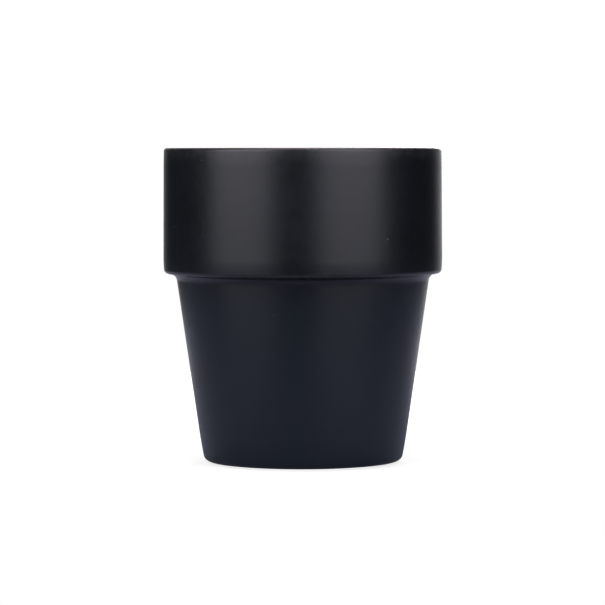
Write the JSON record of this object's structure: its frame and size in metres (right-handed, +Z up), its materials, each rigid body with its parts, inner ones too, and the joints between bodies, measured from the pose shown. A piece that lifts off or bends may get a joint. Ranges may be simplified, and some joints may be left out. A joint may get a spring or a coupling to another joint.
{
  "type": "stacking mug",
  "caption": "Handleless flower-pot mug: straight collar over a tapered wall, shoulder that seats on another mug's rim, matt dark glaze over stoneware, bare clay foot ring.",
  "frame": {"origin": "centre of the foot ring's tread, on the surface that the mug stands on", "axes": "+Z up along the mug's axis, towards the rim; X and Y are free, because the mug is round"},
  "size_m": [0.085, 0.085, 0.0958],
  "materials": {
    "bare_stoneware": "unglazed, fine-grained, matt",
    "matt_glaze": "matt to satin blue-black",
    "liner_glaze": "satin gloss blue-black",
    "underside_glaze": "matt to satin blue-black"
  },
  "bodies": {
    "root": {"clay_body": "bare_stoneware", "outer_glaze": "matt_glaze", "liner_glaze": "liner_glaze", "underside_glaze": "underside_glaze"}
  },
  "joints": []
}
